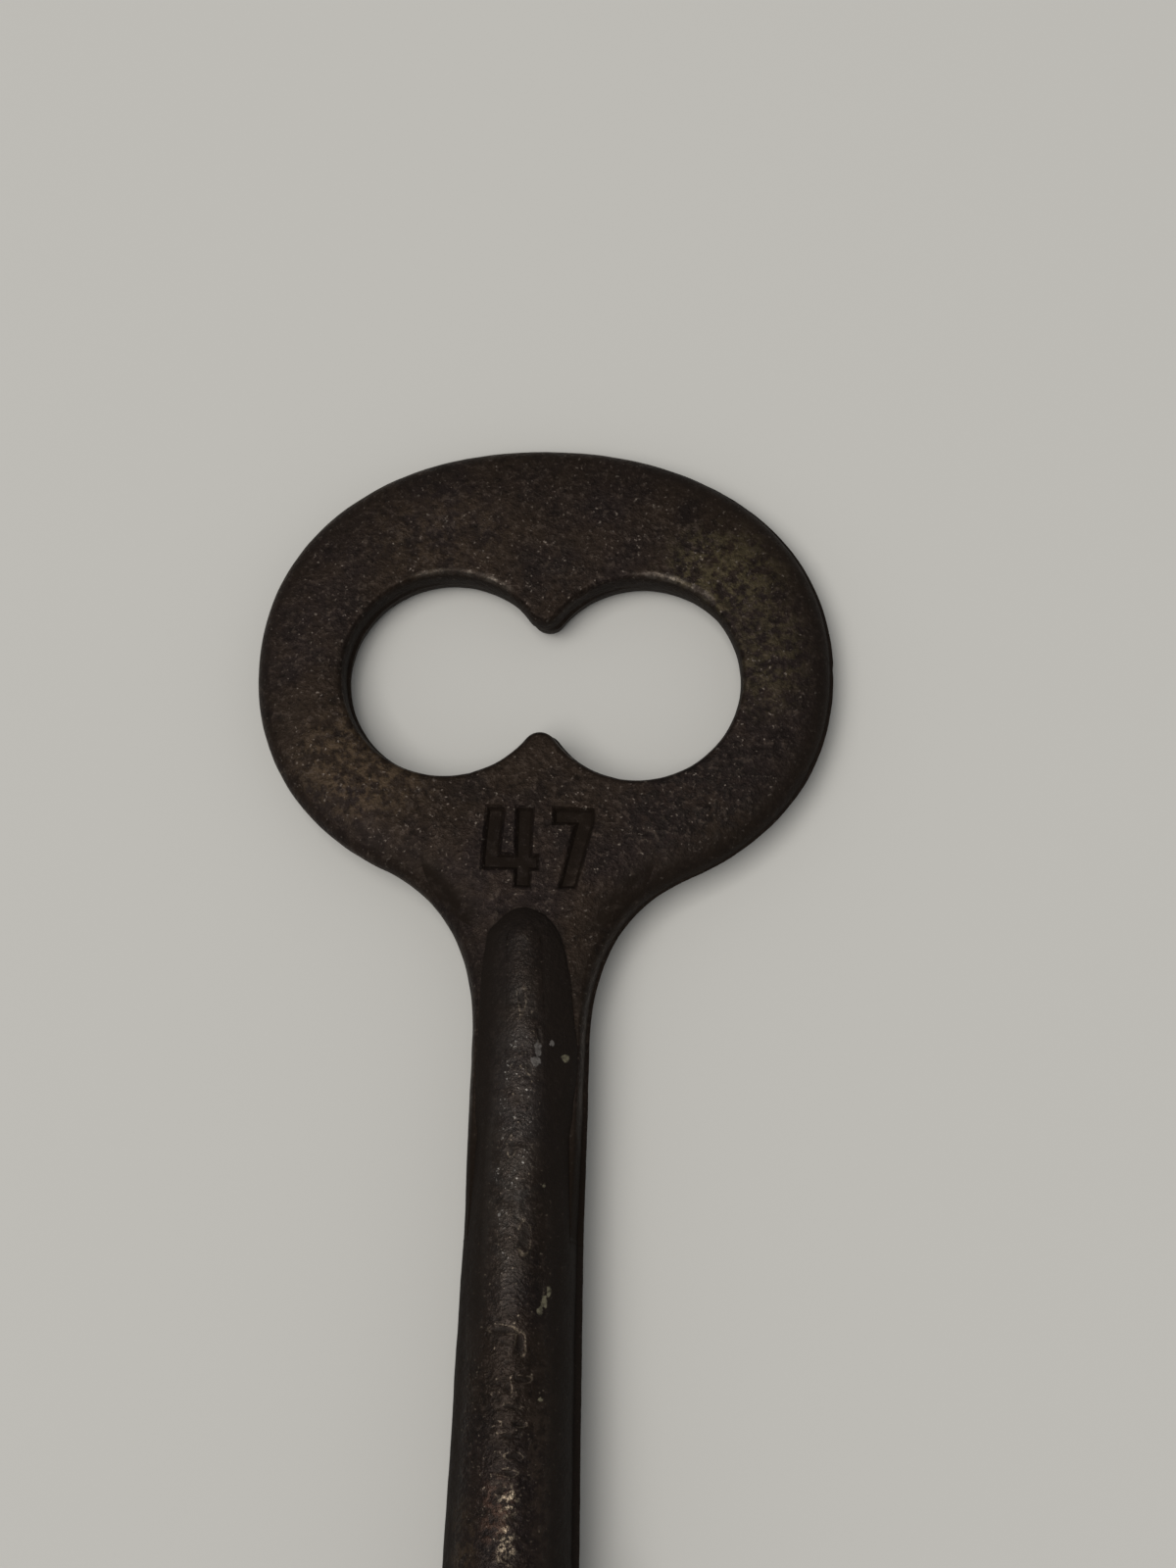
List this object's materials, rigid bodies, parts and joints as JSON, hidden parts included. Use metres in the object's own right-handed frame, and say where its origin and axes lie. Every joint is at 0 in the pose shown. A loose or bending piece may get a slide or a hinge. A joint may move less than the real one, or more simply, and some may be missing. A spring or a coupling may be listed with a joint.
{
  "type": "skeleton key",
  "caption": "Bit key with a flat pierced oval bow, a forked tapering shank, a beaded collar, a warded bit and a pilot pin.",
  "frame": {"origin": "on the shank's axis at the root of the pilot pin, where the pin leaves the barrel and the bit", "axes": "+Y along the shank from the pilot pin to the bow, +X towards the bit's working edge, +Z out of the bow's front face"},
  "size_m": [0.0268, 0.0761, 0.0084],
  "materials": {
    "browned_iron_bow": "cast grain under a dark violet-brown patina, olive and golden brown in places",
    "browned_iron_shank": "dark brown patina, pitted and rubbed to a dull shine along the ridge",
    "filed_iron_bit": "filed faces under dark brown patina, edges worn bright",
    "tarnished_braze": "tarnished brass, nearly as dark as the iron beside it"
  },
  "bodies": {
    "root": {"bow": "browned_iron_bow", "shank": "browned_iron_shank", "collar": "browned_iron_shank", "bit": "filed_iron_bit", "neck_braze_front": "tarnished_braze", "neck_braze_back": "tarnished_braze", "bit_braze_front": "tarnished_braze", "bit_braze_back": "tarnished_braze", "collar_braze": "tarnished_braze"}
  },
  "joints": []
}
